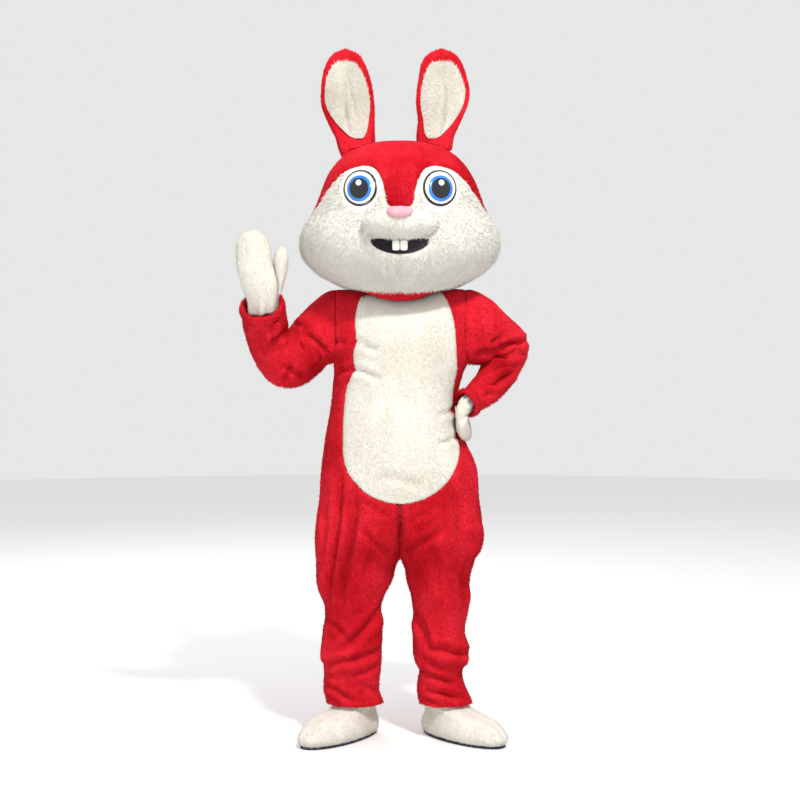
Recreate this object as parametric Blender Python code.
"""A rabbit mascot costume in its worn pose: a hollow plush suit, a foam head with long ears,
mitts and shoe covers. Sizes are in metres, and heights in the tables are above the floor."""

from bisect import bisect_right
from math import acos, cos, hypot, pi, radians, sin, sqrt

import bmesh
import bpy
from mathutils import Vector

# Driving sizes
# The wearer's shoulders, where the costume is held and where its origin is
SHOULDER_HEIGHT = 1.26
SEAM = 0.0003  # gap between two sewn pieces
PLUSH = 0.004  # pile fabric and its backing
FOAM = 0.014  # head wall: foam covered with plush
CHEST = 1.10  # above this the panels curve in over the shoulders
ARMPIT = 1.055
RIDGE = 1.262  # shoulder seam
CROTCH = 0.507
NECK_WIDTH = 0.105
NECK_DEPTH = 0.088
ARMHOLE_ANGLE = radians(29)
RISE = 0.16  # level units for the quarter turn from the chest to the shoulder seam
BELLY_BOTTOM = 0.672
BELLY_ROUND = 0.15  # height of the belly panel's round end

RIGHT = -1
LEFT = 1

# Suit sections: outer and inner edge of each half from the centre plane,
# and depths from the side seam.
# An inner edge below zero lies past the centre plane, so there the halves meet.
SUIT_COLUMNS = ("height", "right_out", "right_in", "left_out", "left_in", "front", "back")
SUIT = (
    (0.095, 0.208, 0.047, 0.206, 0.053, 0.080, 0.082),
    (0.140, 0.217, 0.060, 0.186, 0.047, 0.076, 0.080),
    (0.185, 0.215, 0.055, 0.177, 0.054, 0.074, 0.080),
    (0.228, 0.225, 0.052, 0.198, 0.038, 0.084, 0.088),
    (0.300, 0.218, 0.050, 0.183, 0.036, 0.084, 0.090),
    (0.347, 0.211, 0.052, 0.190, 0.036, 0.088, 0.094),
    (0.395, 0.219, 0.046, 0.197, 0.033, 0.098, 0.104),
    (0.440, 0.236, 0.022, 0.194, 0.020, 0.108, 0.116),
    (0.507, 0.235, 0.000, 0.213, 0.000, 0.122, 0.132),
    (0.560, 0.238, -0.070, 0.229, -0.070, 0.140, 0.148),
    (0.615, 0.234, -0.150, 0.231, -0.150, 0.152, 0.158),
    (0.672, 0.226, -0.226, 0.223, -0.223, 0.160, 0.162),
    (0.760, 0.220, -0.220, 0.216, -0.216, 0.167, 0.158),
    (0.820, 0.213, -0.213, 0.190, -0.190, 0.168, 0.150),
    (0.870, 0.205, -0.205, 0.168, -0.168, 0.165, 0.142),
    (0.930, 0.194, -0.194, 0.158, -0.158, 0.160, 0.136),
    (0.990, 0.188, -0.188, 0.165, -0.165, 0.156, 0.134),
    (1.055, 0.186, -0.186, 0.188, -0.188, 0.152, 0.136),
    (1.100, 0.208, -0.208, 0.210, -0.210, 0.150, 0.138),
)

# The two upright folds down each thigh. They are columns of the front panel's grid: at each
# level these stand at a share of its width, sink by the depth, and raise their neighbours.
THIGH_COLUMNS = ("level", "outer_share", "inner_share", "depth")
THIGH_FOLDS = {
    RIGHT: (
        (0.235, 0.364, 0.545, 0.000),
        (0.300, 0.320, 0.470, 0.003),
        (0.370, 0.300, 0.420, 0.008),
        (0.440, 0.310, 0.420, 0.011),
        (0.507, 0.360, 0.480, 0.012),
        (0.560, 0.410, 0.540, 0.012),
        (0.615, 0.450, 0.590, 0.010),
        (0.672, 0.460, 0.610, 0.005),
        (0.720, 0.364, 0.545, 0.000),
    ),
    LEFT: (
        (0.235, 0.364, 0.545, 0.000),
        (0.440, 0.340, 0.500, 0.003),
        (0.560, 0.400, 0.550, 0.006),
        (0.672, 0.420, 0.600, 0.003),
        (0.720, 0.364, 0.545, 0.000),
    ),
}
THIGH_PINS = (4, 6)  # which columns of the grid the two folds are
FOLD_PROFILE = {3: -0.3, 4: 1.0, 5: -0.35, 6: 0.9, 7: -0.3}
# Folds across a leg: below the knee in front, in the hollow of the knee behind
KNEE_FOLDS = {("front", 0.235): 0.009, ("back", 0.370): 0.008}
FRONT_PANEL_COLUMNS = 11
BACK_PANEL_COLUMNS = 8

# Edges of the belly panel from the centre plane, above its round end
BELLY_COLUMNS = ("height", "right", "left")
BELLY = (
    (0.822, 0.160, 0.168),
    (0.890, 0.160, 0.152),
    (0.930, 0.157, 0.148),
    (0.990, 0.149, 0.152),
    (1.035, 0.128, 0.160),
    (1.080, 0.130, 0.158),
    (1.115, 0.122, 0.156),
    (1.150, 0.126, 0.150),
    (1.200, 0.112, 0.130),
    (1.262, 0.086, 0.098),
)

# Head sections from the neck opening up to the crown
HEAD_COLUMNS = ("step", "height", "half_width", "front", "back")
HEAD = (
    (0, 1.2530, 0.140, 0.144, 0.146),
    (1, 1.2680, 0.168, 0.178, 0.178),
    (2, 1.3050, 0.226, 0.212, 0.212),
    (3, 1.3500, 0.265, 0.229, 0.230),
    (4, 1.3950, 0.276, 0.231, 0.238),
    (5, 1.4400, 0.264, 0.225, 0.240),
    (6, 1.4800, 0.240, 0.216, 0.236),
    (7, 1.5250, 0.222, 0.207, 0.226),
    (8, 1.5700, 0.205, 0.191, 0.208),
    (9, 1.6100, 0.179, 0.166, 0.180),
    (10, 1.6450, 0.139, 0.127, 0.138),
    (11, 1.6680, 0.080, 0.073, 0.080),
    (12, 1.6765, 0.000, 0.000, 0.000),
)
HEAD_SIDE_LIFT = 0.018  # the neck opening rises over each shoulder
HEAD_TOP_STEP = 12.0
HALVINGS = 16  # how often a search for a height halves its interval
FACE_GAP = 0.02  # steps between the face and the hood above it
HEAD_COLUMN = radians(9)  # every piece of the head has a column of points this far apart

# Upper edge of the white face, by angle from the side seam (0) to the centre front (90)
FACE_COLUMNS = ("angle", "height")
FACE = (
    (-36, 1.262),
    (-27, 1.340),
    (-14, 1.402),
    (0, 1.440),
    (12, 1.480),
    (22, 1.522),
    (32, 1.560),
    (42, 1.584),
    (52, 1.593),
    (62, 1.594),
    (70, 1.584),
    (75, 1.564),
    (78, 1.540),
    (80, 1.510),
    (81.5, 1.486),
    (83, 1.481),
    (90, 1.480),
)

# Sleeve rings: upper or inner edge (top_x, top_z), under or outer edge (under_x, under_z),
# middle depth y and half-thickness. x runs outwards from the centre plane.
SLEEVE_COLUMNS = ("step", "top_x", "top_z", "under_x", "under_z", "y", "thick")
RAISED_SLEEVE = (
    (0, 0.196, 1.2600, 0.190, 1.060, 0.000, 0.070),
    (1, 0.222, 1.2500, 0.203, 1.056, 0.002, 0.072),
    (2, 0.250, 1.2230, 0.222, 1.038, 0.006, 0.076),
    (3, 0.279, 1.1900, 0.246, 1.012, 0.010, 0.078),
    (4, 0.299, 1.1680, 0.276, 0.992, 0.012, 0.078),
    (5, 0.309, 1.1570, 0.320, 0.986, 0.012, 0.077),
    (6, 0.313, 1.1540, 0.364, 1.001, 0.010, 0.075),
    (7, 0.315, 1.1545, 0.399, 1.043, 0.004, 0.072),
    (8, 0.316, 1.1580, 0.421, 1.090, -0.010, 0.068),
    (9, 0.315, 1.1640, 0.431, 1.128, -0.030, 0.064),
    (10, 0.315, 1.1730, 0.436, 1.153, -0.048, 0.061),
    (11, 0.316, 1.1880, 0.437, 1.170, -0.064, 0.060),
    (12, 0.318, 1.2050, 0.437, 1.187, -0.080, 0.059),
)
HIP_SLEEVE = (
    (0, 0.198, 1.2620, 0.192, 1.060, 0.000, 0.070),
    (1, 0.225, 1.2570, 0.203, 1.055, 0.012, 0.071),
    (2, 0.252, 1.2370, 0.212, 1.053, 0.032, 0.070),
    (3, 0.283, 1.2050, 0.221, 1.055, 0.056, 0.067),
    (4, 0.320, 1.1760, 0.228, 1.056, 0.078, 0.064),
    (5, 0.350, 1.1470, 0.232, 1.056, 0.090, 0.062),
    (6, 0.365, 1.1170, 0.234, 1.054, 0.093, 0.061),
    (7, 0.366, 1.0850, 0.233, 1.050, 0.087, 0.060),
    (8, 0.352, 1.0520, 0.231, 1.044, 0.074, 0.058),
    (9, 0.328, 1.0100, 0.228, 1.036, 0.052, 0.054),
    (10, 0.298, 0.9720, 0.219, 1.024, 0.018, 0.049),
    (11, 0.260, 0.9420, 0.202, 1.005, -0.022, 0.042),
    (12, 0.213, 0.9220, 0.178, 0.979, -0.060, 0.034),
)

# Outline rings for mitts: first edge, second edge, middle depth and half-thickness
MITT_COLUMNS = ("step", "a_x", "a_y", "a_z", "b_x", "b_y", "b_z", "thick")

MATERIALS = {
    "red_plush": (0.62, 0.012, 0.022),
    "white_plush": (0.80, 0.76, 0.69),
    "pink_pad": (0.86, 0.42, 0.47),
    "dark_cloth": (0.012, 0.010, 0.014),
    "eye_gloss": (0.02, 0.16, 0.50),
    "tooth_foam": (0.88, 0.87, 0.83),
    "navy_sole": (0.020, 0.026, 0.055),
}
ROUGH = {"eye_gloss": 0.25, "pink_pad": 0.6, "navy_sole": 0.55}


def column(table, names, wanted):
    index = names.index(wanted)
    return [row[index] for row in table]


def smooth(keys, values, key):
    """Cubic through the values, with each slope taken from the neighbours."""
    last = len(keys) - 1
    place = min(max(bisect_right(keys, key) - 1, 0), last - 1)

    def slope(i):
        low, high = max(i - 1, 0), min(i + 1, last)
        return (values[high] - values[low]) / (keys[high] - keys[low])

    span = keys[place + 1] - keys[place]
    t = min(max((key - keys[place]) / span, 0.0), 1.0)
    start, end = values[place], values[place + 1]
    run = slope(place) * span, slope(place + 1) * span
    return (
        start * (1 + 2 * t) * (1 - t) ** 2
        + run[0] * t * (1 - t) ** 2
        + end * t * t * (3 - 2 * t)
        + run[1] * t * t * (t - 1)
    )


def reader(table, names):
    """A function of (wanted column, key) for a table whose first column is the key."""
    keys = [row[0] for row in table]
    columns = {name: column(table, names, name) for name in names}
    return lambda wanted, key: smooth(keys, columns[wanted], key)


suit_at = reader(SUIT, SUIT_COLUMNS)
belly_at = reader(BELLY, BELLY_COLUMNS)
head_at = reader(HEAD, HEAD_COLUMNS)
face_at = reader(FACE, FACE_COLUMNS)
THIGH_READERS = {side: reader(THIGH_FOLDS[side], THIGH_COLUMNS) for side in (RIGHT, LEFT)}


def material(name):
    found = bpy.data.materials.get(name)
    if found:
        return found
    made = bpy.data.materials.new(name)
    made.use_nodes = True
    shader = made.node_tree.nodes["Principled BSDF"]
    shader.inputs["Base Color"].default_value = (*MATERIALS[name], 1)
    shader.inputs["Roughness"].default_value = ROUGH.get(name, 0.9)
    shader.inputs["Metallic"].default_value = 0
    made.diffuse_color = (*MATERIALS[name], 1)
    return made


def finish(name, mesh_data, material_name, holder, collection):
    """The bmesh as a named object under the costume's empty."""
    bmesh.ops.remove_doubles(mesh_data, verts=mesh_data.verts, dist=1e-6)
    bmesh.ops.triangulate(mesh_data, faces=mesh_data.faces, quad_method="SHORT_EDGE")
    bmesh.ops.recalc_face_normals(mesh_data, faces=mesh_data.faces)
    if mesh_data.calc_volume(signed=True) < 0:
        bmesh.ops.reverse_faces(mesh_data, faces=mesh_data.faces)
    mesh = bpy.data.meshes.new(name)
    mesh_data.to_mesh(mesh)
    mesh_data.free()
    mesh.shade_smooth()
    mesh.set_sharp_from_angle(angle=radians(50))
    mesh.materials.append(material(material_name))
    made = bpy.data.objects.new(name, mesh)
    made.parent = holder
    collection.objects.link(made)
    return made


def normal_of(surface, s, t, step_s, step_t):
    across = surface(s + step_s, t) - surface(s - step_s, t)
    along = surface(s, t + step_t) - surface(s, t - step_t)
    return across.cross(along).normalized()


def slab(columns, rows, wrap, place):
    """A flat slab of quads, put by place(u, v, w) on two walls, w being 0 or 1."""
    made = bmesh.new()
    bmesh.ops.create_grid(made, x_segments=columns, y_segments=rows, size=0.5)
    spread = bmesh.ops.extrude_face_region(made, geom=made.faces[:], use_keep_orig=True)
    for part in spread["geom"]:
        if isinstance(part, bmesh.types.BMVert):
            part.co.z = 1
    if wrap:
        ends = [face for face in made.faces if len({round(v.co.x, 4) for v in face.verts}) == 1]
        bmesh.ops.delete(made, geom=ends, context="FACES_ONLY")
    for vert in made.verts:
        u = 0.0 if wrap and vert.co.x > 0.4999 else vert.co.x + 0.5
        vert.co = place(u, vert.co.y + 0.5, vert.co.z)
    return made


def blob(columns, rows, place):
    """A closed surface of rings, with its first and last ring drawn to a point."""
    made = bmesh.new()
    bmesh.ops.create_grid(made, x_segments=columns, y_segments=rows, size=0.5)
    for vert in made.verts:
        u = 0.0 if vert.co.x > 0.4999 else vert.co.x + 0.5
        vert.co = place(u, vert.co.y + 0.5)
    return made


def section(side, level):
    """Centre and half-width of one half's section, measured outwards from the centre plane."""
    name = "left" if side == LEFT else "right"
    height = min(level, CHEST)
    outer = suit_at(name + "_out", height)
    inner = max(suit_at(name + "_in", height), -outer)
    return (outer + inner) / 2, (outer - inner) / 2


def main_walls():
    """Places the suit's surface: each half as a function of angle and level."""

    def half(side):
        def surface(angle, level):
            height = min(level, CHEST)
            centre, reach = section(side, level)
            depth = suit_at("front" if angle > 0 else "back", height) * sin(angle)
            turn = max(level - CHEST, 0) / RISE * pi / 2
            x = centre + reach * cos(angle)
            z = height + (RIDGE - CHEST) * sin(turn)
            return Vector((side * x, -depth * cos(turn), z))

        return surface

    return {side: half(side) for side in (RIGHT, LEFT)}


suit_surface = main_walls()


def centre_angle(side, level):
    """Where a half's section reaches the centre plane, or its inner seam below the crotch."""
    centre, reach = section(side, level)
    return pi if centre >= reach else acos(-centre / reach)


def angle_at(side, x, level):
    centre, reach = section(side, level)
    return acos(min(max((x - centre) / reach, -1), 1))


def belly_edge(side, height):
    """Half-width of the belly panel on one side, zero below its round end."""
    name = "left" if side == LEFT else "right"
    if height <= BELLY_BOTTOM:
        return 0.0
    full = BELLY_BOTTOM + BELLY_ROUND
    if height < full:
        return belly_at(name, full) * sqrt(1 - ((full - height) / BELLY_ROUND) ** 2)
    return belly_at(name, height)


def gap_angle(side, level):
    height = min(level, CHEST)
    radius = min(section(side, level)[1], suit_at("front", height), suit_at("back", height))
    return 0.6 * SEAM / radius


# Rows of the suit's panels, shared so that neighbours meet point for point
LEG_LEVELS = (0.095, 0.140, 0.185, 0.235, 0.300, 0.370, 0.440, CROTCH)
SEAT_LEVELS = (0.560, 0.615)
ROUND_LEVELS = tuple(
    BELLY_BOTTOM + BELLY_ROUND * (1 - cos(i * pi / 8)) for i in range(1, 5)
)
WAIST_LEVELS = (0.870, 0.920, 0.970, 1.015)
ARMHOLE_LEVELS = (ARMPIT, 1.064, 1.080, CHEST)
SHOULDER_ROWS = 6
SHOULDER_LEVELS = tuple(CHEST + RISE * i / SHOULDER_ROWS for i in range(1, SHOULDER_ROWS + 1))


def full_turn(x, level_depth):
    """Turn at which a column of the panels meets the neck opening or the shoulder seam."""
    if x >= NECK_WIDTH:
        return pi / 2
    opening = NECK_DEPTH * sqrt(1 - (x / NECK_WIDTH) ** 2)
    return acos(min(opening / level_depth, 1))


def shoulder_level(side, angle, level):
    """Level drawn down so that the top row follows the neck opening."""
    if level <= CHEST:
        return level
    point = suit_surface[side](angle, CHEST)
    turn = full_turn(abs(point.x), max(abs(point.y), 1e-6))
    return CHEST + (level - CHEST) * turn / (pi / 2)


def armhole_angle(level):
    if level <= ARMPIT:
        return 0.0
    share = min((level - ARMPIT) / (CHEST - ARMPIT), 1)
    return ARMHOLE_ANGLE * sin(share * pi / 2)


def thigh_share(side, level, index):
    """Where a column of a front panel stands across it, drawn aside by the thigh folds."""
    read = THIGH_READERS[side]
    outer, inner = THIGH_PINS
    stops = (0, outer, inner, FRONT_PANEL_COLUMNS)
    shares = (0.0, read("outer_share", level), read("inner_share", level), 1.0)
    place = max(i for i in range(3) if index >= stops[i])
    along = (index - stops[place]) / (stops[place + 1] - stops[place])
    return shares[place] + (shares[place + 1] - shares[place]) * along


def fold_depth(side, facing, level, u):
    """How far a point of a panel sinks into one of the large folds."""
    depth = KNEE_FOLDS.get((facing, level), 0.0) * sin(pi * u)
    if facing == "front":
        column_index = round(u * FRONT_PANEL_COLUMNS)
        depth += THIGH_READERS[side]("depth", level) * FOLD_PROFILE.get(column_index, 0.0)
    return depth


def suit_panel(side, facing, levels, columns, inner_edge):
    """One panel of the suit, from its side or armhole edge (u 0) to its inner edge (u 1)."""
    surface = suit_surface[side]

    def place(u, v, w):
        level = levels[round(v * (len(levels) - 1))]
        sunk = fold_depth(side, facing, level, u)
        if facing == "front":
            u = thigh_share(side, level, round(u * columns))
        gap = gap_angle(side, level)
        start = armhole_angle(level) + gap
        angle = start + (inner_edge(level) - gap - start) * u
        signed = angle if facing == "front" else -angle
        drawn = shoulder_level(side, signed, level)
        point = surface(signed, drawn)
        if level == levels[-1] and level > CHEST:
            point.y += SEAM / 2 if facing == "back" else -SEAM / 2
        normal = normal_of(surface, signed, drawn, 1e-3, 1e-4)
        if normal.dot(point - Vector((side * 0.1, 0, point.z - 0.02))) < 0:
            normal = -normal
        return point - normal * (PLUSH * w + sunk)

    return slab(columns, len(levels) - 1, False, place)


def front_inner_edge(side):
    def edge(level):
        if level < BELLY_BOTTOM:
            return centre_angle(side, level)
        height = min(level, CHEST) + max(level - CHEST, 0) / RISE * (RIDGE - CHEST)
        return angle_at(side, belly_edge(side, height + SEAM / 2) + SEAM / 2, level)

    return edge


def belly_panel():
    """The white front panel, from the wearer's right edge (u 0) to the left one (u 1)."""
    start = BELLY_BOTTOM + SEAM
    levels = (start,) + ROUND_LEVELS + WAIST_LEVELS + ARMHOLE_LEVELS + SHOULDER_LEVELS

    def place(u, v, w):
        level = levels[round(v * (len(levels) - 1))]
        height = min(level, CHEST) + max(level - CHEST, 0) / RISE * (RIDGE - CHEST)
        side = RIGHT if u < 0.5 else LEFT
        share = abs(2 * u - 1)
        edge = max(belly_edge(side, height - SEAM / 2) - SEAM / 2, 0.0) if v > 0 else 0.0
        gap = gap_angle(side, level)
        outer = angle_at(side, edge, level) + gap if edge > 0 else pi / 2
        angle = pi / 2 + (outer - pi / 2) * share
        drawn = shoulder_level(side, angle, level)
        point = suit_surface[side](angle, drawn)
        normal = normal_of(suit_surface[side], angle, drawn, 1e-3, 1e-4)
        if normal.y > 0:
            normal = -normal
        return point - normal * PLUSH * w

    return slab(10, len(levels) - 1, False, place)


def head_surface(angle, step):
    """The head at an angle, from the wearer's left (0) by the front (90) round the back."""
    wide = max(head_at("half_width", step), 0.0)
    depth = max(head_at("front" if sin(angle) > 0 else "back", step), 0.0)
    lift = HEAD_SIDE_LIFT * cos(angle) ** 2 * max(1 - step / 3, 0)
    return Vector((wide * cos(angle), -depth * sin(angle), head_at("height", step) + lift))


def head_step(height, angle):
    """The step at which the head reaches a height."""
    low, high = 0.0, HEAD_TOP_STEP
    for _ in range(HALVINGS):
        middle = (low + high) / 2
        if head_surface(angle, middle).z < height:
            low = middle
        else:
            high = middle
    return low


def face_top(angle):
    """Step of the face's upper edge at an angle, the same on both sides."""
    degrees = angle * 180 / pi
    mirrored = degrees if degrees <= 90 else 180 - degrees
    if mirrored < FACE[0][0] + 0.01:
        return 0.0
    return head_step(face_at("height", mirrored), angle)


def head_normal(angle, step):
    if step > HEAD_TOP_STEP - 1e-6:
        return Vector((0, 0, 1))
    kept = min(max(step, 0.02), HEAD_TOP_STEP - 0.1)
    normal = normal_of(head_surface, angle, kept, 1e-3, 1e-3)
    centre = Vector((0, 0, 1.42))
    return normal if normal.dot(head_surface(angle, kept) - centre) > 0 else -normal


def head_piece(columns, rows, first, last, bottom, top):
    """A piece of the head's wall between two angles and two edges, functions of the angle."""

    def place(u, v, w):
        angle = first + (last - first) * u
        low, high = bottom(angle), top(angle)
        step = low + (high - low) * v
        point = head_surface(angle, step) - head_normal(angle, step) * FOAM * w
        at_seam = u in (0.0, 1.0) and abs(sin(angle)) < 0.01
        if at_seam or step > HEAD_TOP_STEP - 1e-6:
            middle = (first + last) / 2
            point.y -= SEAM * 0.6 if sin(middle) > 0 else -SEAM * 0.6
        return point

    return slab(columns, rows, False, place)


def head_front_point(x, z):
    """The head's front surface and normal above a point of the front view."""
    step = head_step(z, pi / 2)
    for _ in range(3):
        wide = head_at("half_width", step)
        angle = acos(min(max(x / wide, -1), 1))
        step = head_step(z, angle)
    return head_surface(angle, step), head_normal(angle, step)


def raised(centre_x, centre_z, outline, height, base_gap=SEAM, floor=0.002, under=None):
    """A domed pad on the head: outline(turn) gives its reach, height(share) its rise."""

    def place(u, v):
        turn = 2 * pi * u
        top = v >= 0.5
        share = (1 - v) * 2 if top else v * 2
        reach = outline(turn)
        x = centre_x + reach[0] * share
        z = centre_z + reach[1] * share
        point, normal = head_front_point(x, z)
        base = base_gap + (under(x, z) if under else 0)
        if not top:
            return point + normal * base
        if share > 0.999:
            return point + normal * (base + floor)
        return point + normal * (base + floor + height(share, turn))

    return place


def oval(wide, tall, power=2.0):
    def outline(turn):
        c, s = cos(turn), sin(turn)
        scale = (abs(c) ** power + abs(s) ** power) ** (-1 / power)
        return wide * c * scale, tall * s * scale

    return outline


# Muzzle: two soft puffs side by side
MUZZLE_X = 0.0
MUZZLE_Z = 1.432
MUZZLE_HALF_WIDTH = 0.100
MUZZLE_HALF_HEIGHT = 0.040
MUZZLE_RISE = 0.046


def muzzle_rise(x, z):
    share_x = (x - MUZZLE_X) / MUZZLE_HALF_WIDTH
    share_z = (z - MUZZLE_Z) / MUZZLE_HALF_HEIGHT
    away = share_x ** 2 + share_z ** 2
    if away >= 1:
        return 0.0
    cleft = 1 - 0.16 * max(1 - (x / 0.02) ** 2, 0) * max(-share_z + 0.3, 0)
    return MUZZLE_RISE * (1 - away ** 1.4) ** 0.6 * cleft


def muzzle_outline(turn):
    return MUZZLE_HALF_WIDTH * cos(turn), MUZZLE_HALF_HEIGHT * sin(turn)


def ring_table(table, names):
    read = reader(table, names)
    last = table[-1][0]

    def ring(step, turn, side):
        top = Vector((read("top_x", step), 0, read("top_z", step)))
        under = Vector((read("under_x", step), 0, read("under_z", step)))
        middle = (top + under) / 2
        half = (under - top) / 2
        before, after = max(step - 0.5, 0), min(step + 0.5, last)

        def centre(at):
            return Vector((
                (read("top_x", at) + read("under_x", at)) / 2,
                read("y", at),
                (read("top_z", at) + read("under_z", at)) / 2,
            ))

        run = centre(after) - centre(before)
        across = run.cross(half).normalized()
        if across.y > 0:
            across = -across
        middle.y = read("y", step)
        point = middle + half * cos(turn) + across * read("thick", step) * sin(turn)
        normal = (half.normalized() * cos(turn) / half.length
                  + across * sin(turn) / read("thick", step)).normalized()
        point.x *= side
        normal.x *= side
        return point, normal

    return ring


def armhole_loop(side):
    """Edge points, normals and outward directions round an armhole, from the armpit."""
    surface = suit_surface[side]
    levels = ARMHOLE_LEVELS + SHOULDER_LEVELS
    loop = []
    stops = [("front", level) for level in levels]
    stops += [("back", level) for level in reversed(levels[1:-1])]
    for facing, level in stops:
        sign = 1 if facing == "front" else -1
        angle = sign * armhole_angle(level)
        drawn = shoulder_level(side, angle if angle else 1e-6, level)
        point = surface(angle, drawn)
        normal = normal_of(surface, angle if angle else 1e-4, drawn, 1e-3, 1e-4)
        if normal.dot(point - Vector((side * 0.1, 0, point.z - 0.02))) < 0:
            normal = -normal
        loop.append((point, normal))
    outward = []
    count = len(loop)
    for i in range(count):
        along = loop[(i + 1) % count][0] - loop[i - 1][0]
        away = along.cross(loop[i][1]).normalized()
        if away.x * side < 0:
            away = -away
        outward.append(away)
    return [(point, normal, away) for (point, normal), away in zip(loop, outward)]


SLEEVE_ROWS = 15
SLEEVE_BLEND = 3.0  # ring steps over which the armhole's outline becomes the sleeve's


def sleeve(side, table):
    loop = armhole_loop(side)
    ring = ring_table(table, SLEEVE_COLUMNS)
    count = len(loop)
    last = table[-1][0]

    def place(u, v, w):
        index = round(u * count) % count
        edge, edge_normal, away = loop[index]
        turn = 2 * pi * index / count
        step = last * v
        point, normal = ring(step, turn, side)
        blend = min(step / SLEEVE_BLEND, 1)
        blend = blend * blend * (3 - 2 * blend)
        start = edge + away * (2 * SEAM)
        offset = start - ring(0, turn, side)[0]
        point = point + offset * (1 - blend)
        normal = (edge_normal * (1 - blend) + normal * blend).normalized()
        return point - normal * PLUSH * w

    return slab(count, SLEEVE_ROWS, True, place)


def band(ring_point, centre, axis, tall, thick, columns, rows=8):
    """A soft rolled band: a closed round section carried round a ring."""

    def place(u, v):
        turn = 2 * pi * u
        around = 2 * pi * v
        out = ring_point(turn)
        return centre + out + out.normalized() * thick * cos(around) + axis * tall * sin(around)

    made = bmesh.new()
    bmesh.ops.create_grid(made, x_segments=columns, y_segments=rows, size=0.5)
    for vert in made.verts:
        u = 0.0 if vert.co.x > 0.4999 else vert.co.x + 0.5
        v = 0.0 if vert.co.y > 0.4999 else vert.co.y + 0.5
        vert.co = place(u, v)
    return made


def cuff(side, table, radius, tall, thick):
    """A rolled cuff just past the sleeve's end, on the sleeve's own axis."""
    ring = ring_table(table, SLEEVE_COLUMNS)
    last = table[-1][0]
    quarters = (0, pi / 2, pi, 3 * pi / 2)
    points = [ring(last, turn, side)[0] for turn in quarters]
    centre = sum(points, Vector()) / 4
    before = sum((ring(last - 0.6, turn, side)[0] for turn in quarters), Vector()) / 4
    first, second = points[0] - centre, points[1] - centre
    axis = first.cross(second).normalized()
    if axis.dot(centre - before) < 0:
        axis = -axis
    first, second = first.normalized() * radius, second.normalized() * radius
    middle = centre + axis * (tall + 2 * SEAM)

    def round_arm(turn):
        return first * cos(turn) + second * sin(turn)

    return band(round_arm, middle, axis, tall, thick, 18)


def mitt(table, columns=12, rows=10, wall=0.003):
    """A hollow tube of outline rings, closed at its last ring and open at its first."""
    read = reader(table, MITT_COLUMNS)
    last = table[-1][0]

    def pair(step):
        first = Vector([read(name, step) for name in ("a_x", "a_y", "a_z")])
        second = Vector([read(name, step) for name in ("b_x", "b_y", "b_z")])
        return first, second

    def frame(step):
        first, second = pair(step)
        centre, half = (first + second) / 2, (second - first) / 2
        low, high = pair(max(step - 0.3, 0)), pair(min(step + 0.3, last))
        run = (high[0] + high[1] - low[0] - low[1]).normalized()
        if half.length < 1e-5:
            front, back = pair(last - 0.3)
            half = back - front
        across = run.cross(half)
        return centre, half, across.normalized()

    def place(u, v, w):
        step = last * v
        centre, half, across = frame(step)
        thick = max(read("thick", step), 0)
        turn = 2 * pi * u
        if v > 0.999:
            tip = (pair(last)[0] + pair(last)[1]) / 2
            inner = frame(last - 0.4)[0]
            return tip + (inner - tip).normalized() * wall * w * 1.3
        reach = max(half.length - wall * w, 0.0005)
        depth = max(thick - wall * w, 0.0004)
        return centre + half.normalized() * reach * cos(turn) + across * depth * sin(turn)

    return slab(columns, rows, True, place)


RAISED_MITT = (
    (0, -0.419, -0.080, 1.192, -0.339, -0.080, 1.202, 0.032),
    (1, -0.4216, -0.090, 1.226, -0.3364, -0.092, 1.236, 0.031),
    (2, -0.434, -0.104, 1.268, -0.335, -0.108, 1.274, 0.031),
    (3, -0.446, -0.114, 1.320, -0.346, -0.118, 1.320, 0.031),
    (4, -0.449, -0.122, 1.358, -0.352, -0.124, 1.358, 0.030),
    (5, -0.443, -0.128, 1.390, -0.362, -0.129, 1.390, 0.027),
    (6, -0.427, -0.131, 1.411, -0.378, -0.131, 1.411, 0.020),
    (7, -0.403, -0.132, 1.419, -0.401, -0.132, 1.419, 0.002),
)
RAISED_THUMB = (
    (0, -0.3345, -0.108, 1.246, -0.3290, -0.108, 1.243, 0.008),
    (1, -0.3343, -0.112, 1.276, -0.3200, -0.111, 1.268, 0.019),
    (2, -0.3402, -0.117, 1.304, -0.3130, -0.116, 1.297, 0.023),
    (3, -0.3452, -0.121, 1.332, -0.3078, -0.120, 1.326, 0.022),
    (4, -0.3440, -0.125, 1.352, -0.3070, -0.124, 1.350, 0.018),
    (5, -0.3350, -0.128, 1.367, -0.3120, -0.128, 1.367, 0.012),
    (6, -0.3245, -0.128, 1.373, -0.3225, -0.128, 1.373, 0.002),
)
HIP_MITT = (
    (0, 0.187, -0.064, 0.968, 0.205, -0.052, 0.934, 0.018),
    (1, 0.170, -0.081, 0.957, 0.192, -0.073, 0.923, 0.017),
    (2, 0.163, -0.082, 0.941, 0.179, -0.102, 0.908, 0.016),
    (3, 0.176, -0.062, 0.902, 0.168, -0.110, 0.880, 0.016),
    (4, 0.1770, -0.045, 0.900, 0.1760, -0.085, 0.848, 0.0155),
    (5, 0.1787, -0.022, 0.906, 0.1877, -0.040, 0.840, 0.0145),
    (6, 0.1787, 0.015, 0.910, 0.1897, 0.010, 0.841, 0.0130),
    (7, 0.1720, 0.048, 0.908, 0.1810, 0.048, 0.843, 0.0125),
    (8, 0.160, 0.075, 0.900, 0.166, 0.075, 0.852, 0.0110),
    (9, 0.149, 0.093, 0.878, 0.149, 0.093, 0.876, 0.0020),
)

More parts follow.
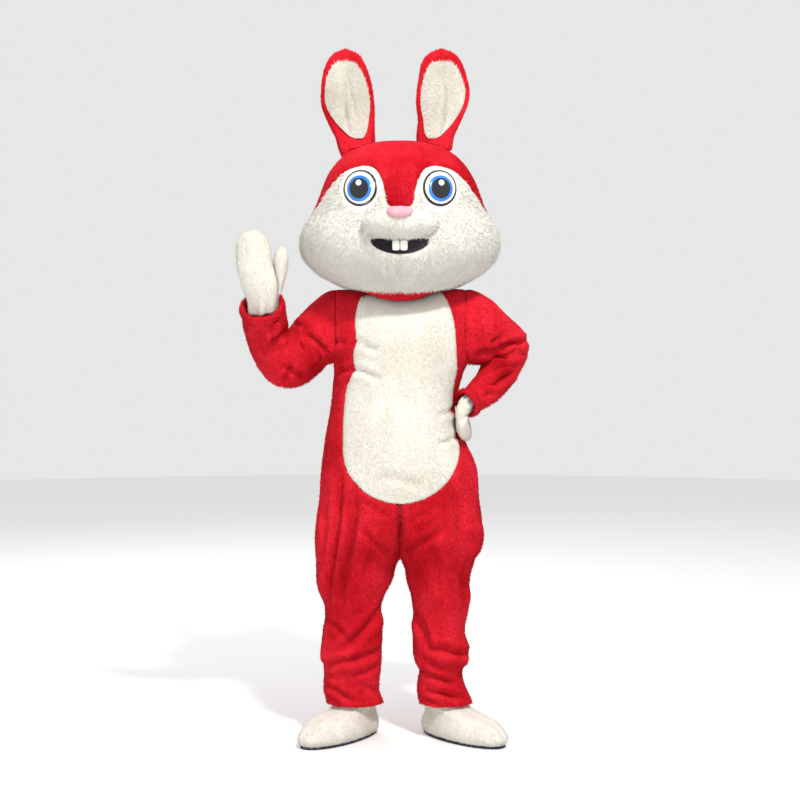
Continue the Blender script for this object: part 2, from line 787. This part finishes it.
EAR_COLUMNS = ("step", "x", "z", "half_width", "thick", "y")
RIGHT_EAR = (
    (0, -0.122, 1.655, 0.050, 0.030, 0.030),
    (1, -0.127, 1.690, 0.055, 0.030, 0.032),
    (2, -0.138, 1.733, 0.066, 0.029, 0.034),
    (3, -0.146, 1.775, 0.074, 0.028, 0.036),
    (4, -0.150, 1.817, 0.073, 0.027, 0.038),
    (5, -0.153, 1.858, 0.067, 0.025, 0.040),
    (6, -0.154, 1.895, 0.054, 0.022, 0.042),
    (7, -0.154, 1.922, 0.036, 0.017, 0.043),
    (8, -0.154, 1.940, 0.000, 0.000, 0.044),
)
LEFT_EAR = (
    (0, 0.096, 1.655, 0.048, 0.030, 0.030),
    (1, 0.099, 1.690, 0.052, 0.030, 0.032),
    (2, 0.111, 1.733, 0.060, 0.029, 0.034),
    (3, 0.117, 1.775, 0.071, 0.028, 0.036),
    (4, 0.121, 1.817, 0.074, 0.027, 0.038),
    (5, 0.120, 1.858, 0.067, 0.025, 0.040),
    (6, 0.118, 1.895, 0.058, 0.022, 0.042),
    (7, 0.117, 1.922, 0.040, 0.017, 0.043),
    (8, 0.116, 1.940, 0.000, 0.000, 0.044),
)
EAR_DISH = 0.020
EAR_SEAT = 0.0011


def crown_height(x, y):
    """Height of the head's top surface above a point of the plan."""
    low, high = 6.0, HEAD_TOP_STEP
    name = "front" if y < 0 else "back"
    for _ in range(HALVINGS):
        middle = (low + high) / 2
        wide, depth = head_at("half_width", middle), head_at(name, middle)
        inside = wide > 0 and depth > 0 and hypot(x / wide, y / depth) < 1
        if inside:
            low = middle
        else:
            high = middle
    return head_at("height", low)


def ear_section(table, step, turn, read):
    """A point of the ear: its front is dished and its back is round."""
    share = cos(turn)
    half = max(read("half_width", step), 0)
    thick = max(read("thick", step), 0)
    body = sqrt(max(1 - abs(share) ** 3, 0))
    x = read("x", step) + half * share
    if sin(turn) >= 0:
        dish = EAR_DISH * (1 - share * share) * min(step / 2, 1) * min((8 - step) / 2, 1)
        y = read("y", step) - thick * body + max(dish, 0)
    else:
        y = read("y", step) + thick * body
    return Vector((x, y, read("z", step)))


def ear(table):
    """The ear's foam body, seated on the crown."""
    read = reader(table, EAR_COLUMNS)
    last = table[-1][0]

    def place(u, v):
        turn = 2 * pi * u
        rows = 13
        index = round(v * rows)
        if index <= 2:
            middle = Vector((read("x", 0), read("y", 0), 0))
            point = middle + (ear_section(table, 0, turn, read) - middle) * (index / 2)
            point.z = crown_height(point.x, point.y) + EAR_SEAT
            return point
        step = last * (index - 2) / (rows - 2)
        point = ear_section(table, step, turn, read)
        point.z = max(point.z, crown_height(point.x, point.y) + 0.006)
        return point

    return blob(16, 13, place)


EAR_LINING_LOW = 0.8
EAR_LINING_HIGH = 6.2
LINING_WIDTH = 0.84  # share of the ear's width, where the lining is widest
LINING_GAP = 0.0019  # how far its back stands off the ear's curve, clear of its facets
LINING_LEAN = 0.22  # the lining's point leans this share towards the head's middle


def lining_share(side, turn, u):
    """Where a point of the lining stands across the ear: pointed below, round above."""
    if not 1e-6 < turn < pi - 1e-6:
        return -side * LINING_LEAN if turn < 1 else 0.0
    low = turn < pi / 2
    wide = LINING_WIDTH * sin(turn) ** (0.85 if low else 0.5)
    lean = -side * LINING_LEAN * (1 - sin(turn)) if low else 0.0
    return wide * (2 * u - 1) + lean


def ear_lining(side, table):
    """The white pad in the ear's dish, made from the ear's front points moved forwards."""
    read = reader(table, EAR_COLUMNS)

    def place(u, v, w):
        middle = (EAR_LINING_LOW + EAR_LINING_HIGH) / 2
        reach = (EAR_LINING_HIGH - EAR_LINING_LOW) / 2
        turn = pi * v
        step = middle - reach * cos(turn)
        share = lining_share(side, turn, u)
        front = acos(min(max(share, -1), 1))
        point = ear_section(table, step, front, read)
        lift = LINING_GAP + 0.005 * (1 - w) * (1 if 0.02 < v < 0.98 else 0.5)
        return point + Vector((0, -1, 0)) * lift

    return slab(8, 10, False, place)


SHOE_COLUMNS = ("height", "heel", "toe", "half_width")
SHOE = (
    (0.0082, -0.074, 0.232, 0.058),
    (0.0220, -0.080, 0.240, 0.064),
    (0.0400, -0.078, 0.232, 0.063),
    (0.0560, -0.072, 0.208, 0.058),
    (0.0690, -0.066, 0.168, 0.053),
    (0.0790, -0.062, 0.118, 0.050),
    (0.0860, -0.062, 0.080, 0.053),
    (0.1000, -0.061, 0.064, 0.0585),
    (0.1240, -0.060, 0.060, 0.0595),
)
SOLE_THICKNESS = 0.0078
SHOES = {
    "right": (Vector((-0.1212, 0.0046, 0)), Vector((-0.60, -0.80, 0))),
    "left": (Vector((0.1250, 0.003, 0)), Vector((0.66, -0.75, 0))),
}
shoe_at = reader(SHOE, SHOE_COLUMNS)


def shoe_outline(side, height, turn, grow=0.0):
    """A point of the shoe's plan outline at a height."""
    ankle, ahead = SHOES[side]
    beside = Vector((-ahead.y, ahead.x, 0))
    heel, toe = shoe_at("heel", height) - grow, shoe_at("toe", height) + grow
    wide = shoe_at("half_width", height) + grow
    run = (heel + toe) / 2 + (toe - heel) / 2 * cos(turn)
    sway = wide * sin(turn) * (1 + 0.10 * cos(turn))
    point = ankle + ahead.normalized() * run + beside.normalized() * sway
    point.z = height
    return point


def shoe_upper(side):
    heights = column(SHOE, SHOE_COLUMNS, "height")
    rows = len(heights) - 1

    def surface(turn, height):
        return shoe_outline(side, height, turn)

    def place(u, v, w):
        turn = 2 * pi * u
        height = heights[round(v * rows)]
        kept = min(max(height, heights[0] + 1e-4), heights[-1] - 1e-4)
        point = surface(turn, height)
        normal = normal_of(surface, turn, kept, 1e-3, 5e-5)
        centre = surface(0, kept) * 0.5 + surface(pi, kept) * 0.5
        if normal.dot(point - centre) < 0:
            normal = -normal
        if height in (heights[0], heights[-1]):
            normal.z = 0
            normal.normalize()
        return point - normal * PLUSH * w

    return slab(18, rows, True, place)


def sole(side):
    bands = ((0.0, -0.003), (0.002, 0.001), (0.0055, 0.001), (SOLE_THICKNESS, -0.001))

    def place(u, v):
        turn = 2 * pi * u
        index = round(v * 5)
        low = SHOE[0][0]
        centre = (shoe_outline(side, low, 0) + shoe_outline(side, low, pi)) / 2
        if index in (0, 5):
            centre.z = 0.0 if index == 0 else SOLE_THICKNESS
            return centre
        height, grow = bands[index - 1]
        point = shoe_outline(side, low, turn, grow)
        point.z = height
        return point

    return blob(28, 5, place)


SKIRT_DROP = 0.030  # how far the skirt hangs at the front and back
SKIRT_RISE = 0.026  # how much less over the shoulders


def neck_skirt():
    """The red band under the chin, hung just inside the head's lower edge."""

    def place(u, v, w):
        angle = 2 * pi * u
        rim = head_surface(angle, 0.0)
        normal = head_normal(angle, 0.0)
        onward = (rim - head_surface(angle, 0.05)).normalized()
        outward = Vector((rim.x, rim.y, 0)).normalized()
        drop = SKIRT_DROP - SKIRT_RISE * cos(angle) ** 2
        point = rim - normal * (0.005 + PLUSH * w) + onward * 2 * SEAM
        return point - outward * 0.008 * v - Vector((0, 0, drop * v))

    return slab(24, 2, True, place)


def placket():
    """A flat strip over the closing in the centre back seam."""
    rows = ROUND_LEVELS[2:] + WAIST_LEVELS + ARMHOLE_LEVELS + SHOULDER_LEVELS[:3]
    half = 0.016

    def place(u, v, w):
        level = rows[round(v * (len(rows) - 1))]
        x = half * (2 * u - 1)
        side = LEFT if x >= 0 else RIGHT
        angle = -angle_at(side, abs(x), level)
        point = suit_surface[side](angle, level)
        normal = normal_of(suit_surface[side], angle, level, 1e-3, 1e-4)
        if normal.y < 0:
            normal = -normal
        return point + normal * (4 * SEAM + 0.003 * (1 - w))

    return slab(4, len(rows) - 1, False, place)


def eye(centre_x, centre_z):
    rise = 0.007

    def height(share, _):
        return rise * sqrt(max(1 - share ** 2, 0))

    return blob(20, 6, raised(centre_x, centre_z, oval(0.046, 0.050), height, base_gap=0.0009))


def muzzle():
    def height(share, turn):
        x = MUZZLE_X + MUZZLE_HALF_WIDTH * cos(turn) * share
        z = MUZZLE_Z + MUZZLE_HALF_HEIGHT * sin(turn) * share
        return muzzle_rise(x, z)

    return blob(20, 12, raised(MUZZLE_X, MUZZLE_Z, muzzle_outline, height))


NOSE_Z = 1.455


def nose():
    def under(x, z):
        return muzzle_rise(x, z) + 0.004

    def height(share, _):
        return 0.016 * sqrt(max(1 - share ** 2.4, 0))

    return blob(18, 8, raised(0.0, NOSE_Z, oval(0.031, 0.017, 2.3), height, under=under))


MOUTH_Z = 1.3765
MOUTH_HALF_WIDTH = 0.080
MOUTH_HALF_HEIGHT = 0.026


def mouth_outline(turn):
    """A crescent: a flat upper edge and a round lower one."""
    c, s = cos(turn), sin(turn)
    lift = 0.010 * c * c
    return MOUTH_HALF_WIDTH * c, MOUTH_HALF_HEIGHT * (s if s < 0 else 0.55 * s) + lift


def mouth():
    def flat(share, turn):
        return 0.0

    return blob(24, 6, raised(0.0, MOUTH_Z, mouth_outline, flat, floor=0.0025))


def tooth(centre_x):
    def place(u, v):
        turn = 2 * pi * u
        top = v >= 0.5
        share = (1 - v) * 2 if top else v * 2
        reach = oval(0.0098, 0.0135, 5.0)(turn)
        x = centre_x + reach[0] * share
        z = MOUTH_Z - 0.0025 + reach[1] * share
        point, normal = head_front_point(x, z)
        base = 0.0025 + 3 * SEAM
        if top:
            base += 0.007 if share < 0.999 else 0.005
        return point + normal * base

    return blob(16, 6, place)


def build():
    for old in list(bpy.data.objects):
        bpy.data.objects.remove(old)
    collection = bpy.data.collections.new("rabbit_mascot_costume")
    bpy.context.scene.collection.children.link(collection)
    holder = bpy.data.objects.new("wearer_shoulders", None)
    holder.location.z = -SHOULDER_HEIGHT
    collection.objects.link(holder)

    def add(name, made, material_name):
        return finish(name, made, material_name, holder, collection)

    low = LEG_LEVELS + SEAT_LEVELS
    high = ROUND_LEVELS + WAIST_LEVELS + ARMHOLE_LEVELS + SHOULDER_LEVELS
    front_levels = low + (BELLY_BOTTOM - SEAM,) + high
    back_levels = low + (BELLY_BOTTOM,) + high
    for side, name in ((RIGHT, "right"), (LEFT, "left")):
        add("front_" + name,
            suit_panel(side, "front", front_levels, FRONT_PANEL_COLUMNS, front_inner_edge(side)),
            "red_plush")
        add("back_" + name,
            suit_panel(side, "back", back_levels, BACK_PANEL_COLUMNS,
                       lambda level, s=side: centre_angle(s, level)),
            "red_plush")
    add("belly", belly_panel(), "white_plush")
    add("back_placket", placket(), "red_plush")
    add("sleeve_right", sleeve(RIGHT, RAISED_SLEEVE), "red_plush")
    add("sleeve_left", sleeve(LEFT, HIP_SLEEVE), "red_plush")
    add("cuff_right", cuff(RIGHT, RAISED_SLEEVE, 0.0560, 0.0150, 0.0065), "red_plush")
    add("cuff_left", cuff(LEFT, HIP_SLEEVE, 0.0360, 0.0110, 0.0050), "red_plush")

    back_edge = radians(FACE[0][0])
    face_columns = round((pi - 2 * back_edge) / HEAD_COLUMN)
    half_columns = round(pi / HEAD_COLUMN)
    add("face",
        head_piece(face_columns, 8, back_edge, pi - back_edge, lambda a: 0.0,
                   lambda a: max(face_top(a) - FACE_GAP, 0.0)),
        "white_plush")

    def crown(angle):
        return HEAD_TOP_STEP

    add("hood_front", head_piece(half_columns, 8, 0.0, pi, face_top, crown), "red_plush")
    add("hood_back",
        head_piece(half_columns, 9, pi, 2 * pi,
                   lambda a: face_top(a - 2 * pi) if a > 1.5 * pi else face_top(a),
                   lambda a: HEAD_TOP_STEP),
        "red_plush")
    add("neck_skirt", neck_skirt(), "red_plush")
    add("muzzle", muzzle(), "white_plush")
    add("nose", nose(), "pink_pad")
    add("mouth", mouth(), "dark_cloth")
    add("tooth_right", tooth(-0.0103), "tooth_foam")
    add("tooth_left", tooth(0.0103), "tooth_foam")
    add("eye_right", eye(-0.107, 1.530), "eye_gloss")
    add("eye_left", eye(0.107, 1.530), "eye_gloss")
    for side, name, table in ((RIGHT, "right", RIGHT_EAR), (LEFT, "left", LEFT_EAR)):
        add("ear_" + name, ear(table), "red_plush")
        add("ear_lining_" + name, ear_lining(side, table), "white_plush")
    add("mitt_right", mitt(RAISED_MITT), "white_plush")
    add("thumb_right", mitt(RAISED_THUMB, columns=10, rows=6), "white_plush")
    add("mitt_left", mitt(HIP_MITT, rows=12), "white_plush")
    for name in ("right", "left"):
        add("shoe_" + name, shoe_upper(name), "white_plush")
        add("sole_" + name, sole(name), "navy_sole")


build()
